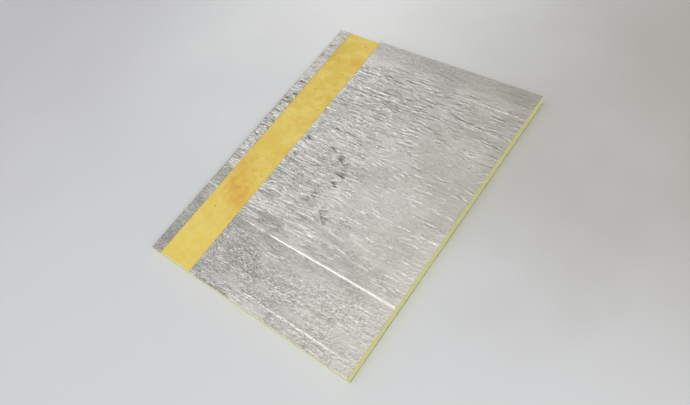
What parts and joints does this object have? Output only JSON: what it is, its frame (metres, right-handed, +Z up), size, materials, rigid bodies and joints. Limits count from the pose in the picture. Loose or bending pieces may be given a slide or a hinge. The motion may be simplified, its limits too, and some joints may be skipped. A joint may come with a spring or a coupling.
{
  "type": "foil-faced glass wool board",
  "caption": "Flat glass wool insulation board with a foil face, a bare wool rebate along one edge and a foil back that folds round that edge as a narrow lip.",
  "frame": {"origin": "middle of the board's underside", "axes": "+X across the board from the rebated edge to the plain edge, +Y along the board, +Z up out of the foil face"},
  "size_m": [0.6, 0.775, 0.025],
  "materials": {
    "glass_wool": "matt compressed glass fibre",
    "face_foil": "crinkled bright foil",
    "back_foil": "crinkled bright foil"
  },
  "bodies": {
    "root": {"glass_wool_core": "glass_wool", "face_foil": "face_foil", "back_foil": "back_foil"}
  },
  "joints": []
}
